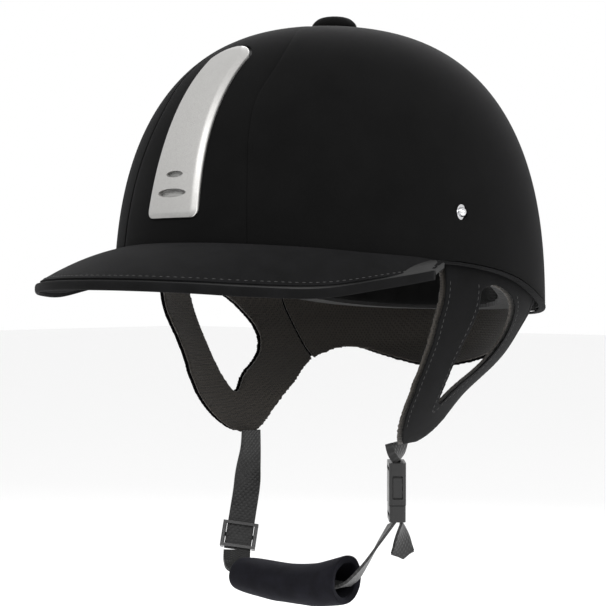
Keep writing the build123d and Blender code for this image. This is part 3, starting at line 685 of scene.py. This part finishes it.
top_mesh = carry(grid(120, 44), lambda u, v: peak_place((u + 1) / 2, v, 0.0, PEAK_EDGE))
under_mesh = carry(grid(120, 44), lambda u, v: peak_place((u + 1) / 2, v, PEAK_THICK - PEAK_SKIN, PEAK_EDGE))
for name, bm, node in (("peak_top_cover", top_mesh, "peak_cover_top"),
                       ("peak_under_cover", under_mesh, "peak_cover_under")):
    for face in bm.faces:
        if face.normal.z < 0:
            face.normal_flip()
    cover, area = cloth_piece(name, bm, SUEDE, (node,), PEAK_SKIN, 0.25)


def roll_point(u, v):
    """A point of the rolled edge, u about its section and v along the outline."""
    root, edge = curve_point(ROOTS, v), curve_point(EDGES, v)
    flat = Vector((edge.x - root.x, edge.y - root.y, 0)).normalized()
    about = math.pi * u
    out = math.copysign(abs(math.cos(about)) ** 0.8, math.cos(about))
    up = math.copysign(abs(math.sin(about)) ** 0.8, math.sin(about))
    return edge + flat * (-1.4 + 1.7 * out) + Vector((0, 0, -PEAK_THICK / 2 + 2.45 * up))


roll_mesh = carry(grid(16, 200), roll_point)
bmesh.ops.remove_doubles(roll_mesh, verts=roll_mesh.verts, dist=1e-5)
bmesh.ops.holes_fill(roll_mesh, edges=[edge for edge in roll_mesh.edges if edge.is_boundary])
roll = finished("peak_rolled_edge", roll_mesh, SUEDE, "helmet", ("peak_edge_binding",))

# ---- chin webbing ----------------------------------------------------------------------------
FACE_ON = (0.766, 0.643, 0)
EDGE_ON = (-0.643, 0.766, 0)
strap("right_strap_web", [((-55, -12.3, -69), (0, 1, 0)), ((-55, -12.8, -80), (0.1, 1, 0)),
                          ((-55.5, -14.2, -92), (0.4, 0.9, 0)), ((-54.5, -17, -104), FACE_ON),
                          ((-52.9, -21.8, -116.5), FACE_ON), ((-51.4, -26.3, -128), FACE_ON),
                          ((-50, -30.5, -139), FACE_ON)], "chin_strap", ("right_webbing",))
strap("chin_strap_web", [((-50, -30.6, -139.3), FACE_ON), ((-47, -34, -145.2), (0.5, 0.86, 0)),
                         ((-42.5, -36.6, -148.6), (0.1, 1, 0)), ((-30, -37, -149), (0, 1, 0)),
                         ((0, -37, -149), (0, 1, 0)), ((36, -37, -149), (0, 1, 0))],
      "chin_strap", ("chin_webbing",), along=120)
strap("left_strap_web", [((36.3, -37, -149), (0, 1, 0)), ((42.5, -35.4, -144.5), (-0.2, 0.97, 0)),
                         ((47.5, -31, -136), (-0.4, 0.9, 0)), ((51.5, -24, -125), (-0.55, 0.83, 0)),
                         ((54.3, -15.5, -114.5), EDGE_ON)], "chin_strap", ("left_webbing",))
strap("left_strap_tail", [((57.2, -11.5, -113.6), EDGE_ON), ((58.0, -11.2, -124), (-0.1, 1, 0)),
                          ((58.4, -11.2, -135), (0.3, 0.95, 0))],
      "chin_strap", ("webbing_tail",), point_tip=0.35)
strap("buckle_loop_web", [((55, -12.5, -69.5), (0, 1, 0)), ((55, -12.5, -75), (-0.25, 0.97, 0)),
                          ((55, -12.5, -79.6), EDGE_ON)], "chin_strap", ("buckle_loop_webbing",), thick=4.6,
      along=24)

# ---- chin cup --------------------------------------------------------------------------------
CUP_AT = [Vector((-40, 0, -151)), Vector((-20, 0, -152)), Vector((0, 0, -152)), Vector((20, 0, -150)),
          Vector((39, 0, -145))]
CUP_HALF = [Vector((13.0, 10.2, 0)), Vector((13.6, 11.0, 0)), Vector((14.0, 11.3, 0)),
            Vector((14.0, 12.6, 0)), Vector((14.2, 14.6, 0))]
CUP_WALL = 3.6


def cup_surface(t, turn, grow):
    """A point of the sleeve, t along it and turned about it, moved out by grow millimetres."""
    centre = curve_point(CUP_AT, t)
    half = curve_point(CUP_HALF, t)
    ripple = 0.35 * noise.noise(Vector((t * 7, math.cos(turn) * 2, math.sin(turn) * 2)))
    out = grow + ripple
    return Vector((centre.x, -37 + (half.x + out) * math.cos(turn),
                   centre.z + (half.y + out) * math.sin(turn))) * MM


cup_mesh = grid(64, 60)
for vert in cup_mesh.verts:
    share = vert.co.y + 0.5
    turned = vert.co.x * 2 * math.pi
    belly = -0.9 * (2 * share - 1) ** 8
    vert.co = cup_surface(share, turned, -0.2 + belly)
bmesh.ops.remove_doubles(cup_mesh, verts=cup_mesh.verts, dist=1e-5)
cup = finished("chin_cup_sleeve", cup_mesh, CUP, "chin_cup",
               ("chin_cup_outer", "chin_cup_lining"))
solid(cup, CUP_WALL * MM, -1.0, 0.5 * MM, 1)

# ---- padded harness --------------------------------------------------------------------------


PRESSURE, FRAMES = 3.0, 8
DRAWN_IN = 0.3             # millimetres that a skin is drawn in before it swells


def puffed(name, source, material, stands_for, voxel, cap, body="helmet"):
    """A padded skin: an even mesh, drawn in, swelled by cloth under pressure, no further than cap."""
    piece = finished(name, source, material, body, stands_for)
    remesh = piece.modifiers.new("even", "REMESH")
    remesh.mode = "VOXEL"
    remesh.voxel_size = voxel * MM
    apply_modifiers(piece)
    start = [vert.co.copy() for vert in piece.data.vertices]
    normals = [vert.normal.copy() for vert in piece.data.vertices]
    for vert, normal in zip(piece.data.vertices, normals):
        vert.co = vert.co - normal * DRAWN_IN * MM
    cloth = piece.modifiers.new("fill", "CLOTH")
    cloth.settings.quality = 3
    cloth.settings.use_pressure = True
    cloth.settings.uniform_pressure_force = PRESSURE
    cloth.settings.effector_weights.gravity = 0
    cloth.settings.tension_stiffness = cloth.settings.compression_stiffness = 20
    cloth.point_cache.frame_end = FRAMES
    for step in range(1, FRAMES + 1):
        bpy.context.scene.frame_set(step)
    apply_modifiers(piece)
    bpy.context.scene.frame_set(1)
    for vert, home in zip(piece.data.vertices, start):
        moved = vert.co - home
        if moved.length > cap * MM:
            vert.co = home + moved.normalized() * cap * MM
    smooth = piece.modifiers.new("smooth", "SMOOTH")
    smooth.factor = 0.5
    smooth.iterations = 3
    apply_modifiers(piece)
    for face in piece.data.polygons:
        face.use_smooth = True
    return piece


SKIN_MESH, LINING_MESH, PAD_MESH = 0.9, 1.0, 1.8       # size of each rebuilt mesh's faces
for side in ("left", "right"):
    puffed(f"{side}_arm_suede", copy_of(f"yoke_outer_{side}"), SUEDE,
           (f"yoke_outer_{side}",), SKIN_MESH, 0.8)
    puffed(f"{side}_arm_mesh_lining", copy_of(f"yoke_lining_{side}"), SPACER,
           (f"yoke_lining_{side}",), LINING_MESH, 0.8)
puffed("neck_piece_suede", copy_of("nape_outer"), SUEDE, ("nape_outer",), SKIN_MESH, 0.8)
puffed("neck_piece_mesh_lining", copy_of("nape_lining"), SPACER, ("nape_lining",),
       LINING_MESH, 0.8)

# ---- comfort padding inside the dome ----------------------------------------------------------
puffed("headband_cushion", copy_of("headband_pad"), KNIT, ("headband_pad",), PAD_MESH, 1.2)
puffed("crown_cushion", copy_of("crown_pad"), KNIT, ("crown_pad",), PAD_MESH, 1.2)

# ---- stitching -------------------------------------------------------------------------------
STITCH_LONG, STITCH_THICK, STITCH_PITCH = 2.4, 0.5, 3.4
SEAM_IN = 3.2              # rows of stitches run this far inside a cut edge
ARM_FRONT = [(-39.5, 20), (-39.5, 10), (-39, 0), (-37, -10), (-36, -20), (-36, -38), (-34.5, -50), (-30, -60)]
ARM_REAR = [(15, -60), (28, -50), (42, -40.5), (57, -31)]
EAR_HOLE = [(-11.3, 14), (-10.6, 0), (-10.8, -15), (-10, -28), (-8, -40), (-4.5, -46.5), (3.5, -41),
            (20, -30), (32, -20), (35.8, -10), (32.6, 0), (25, 9)]
EAR_CENTRE = (9.0, -13.0)
EAR_GROW = 1.16


def stitches(name, paths):
    """Raised stitches along dense paths of (place, surface normal) pairs."""
    bm = bmesh.new()
    size = Matrix.Diagonal((STITCH_LONG / 2 * MM, STITCH_THICK / 2 * MM, STITCH_THICK / 2 * MM, 1))
    for path in paths:
        gone = STITCH_PITCH * MM
        for (here, normal), (there, _) in zip(path, path[1:]):
            gone += (there - here).length
            if gone < STITCH_PITCH * MM:
                continue
            gone = 0.0
            along = (there - here).normalized()
            across = normal.cross(along).normalized()
            turn = Matrix((along, across, along.cross(across))).transposed().to_4x4()
            bmesh.ops.create_uvsphere(bm, u_segments=6, v_segments=4, radius=1,
                                      matrix=Matrix.Translation(here) @ turn @ size)
    return finished(name, bm, THREAD, "helmet")


def seam_on(piece, side, outline):
    """The path of a side-view outline laid on the outer face of a harness arm."""
    mesh = piece.data
    skin = BVHTree.FromPolygons([v.co for v in mesh.vertices], [p.vertices for p in mesh.polygons])
    points = [Vector((0, y, z)) * MM for y, z in outline]
    path = []
    for step in range(600):
        spot = curve_point(points, step / 599)
        place, normal, _, _ = skin.ray_cast(Vector((side * 0.2, spot.y, spot.z)), Vector((-side, 0, 0)))
        if place is not None and abs(normal.x) > 0.3:
            path.append((place, normal))
    return path


for name, side in (("left", 1), ("right", -1)):
    arm = bpy.data.objects[f"{name}_arm_suede"]
    rows = [[(y + SEAM_IN, z) for y, z in ARM_FRONT], [(y - 1.5, z + SEAM_IN) for y, z in ARM_REAR],
            [(EAR_CENTRE[0] + (y - EAR_CENTRE[0]) * EAR_GROW, EAR_CENTRE[1] + (z - EAR_CENTRE[1]) * EAR_GROW)
             for y, z in EAR_HOLE]]
    stitches(f"{name}_arm_stitching", [seam_on(arm, side, row) for row in rows])

edge_path = [peak_place(step / 699, 1.0, 0.0, PEAK_EDGE + 2.5) * MM for step in range(700)]
stitches("peak_edge_stitching", [[(place, Vector((0, 0, 1))) for place in edge_path]])
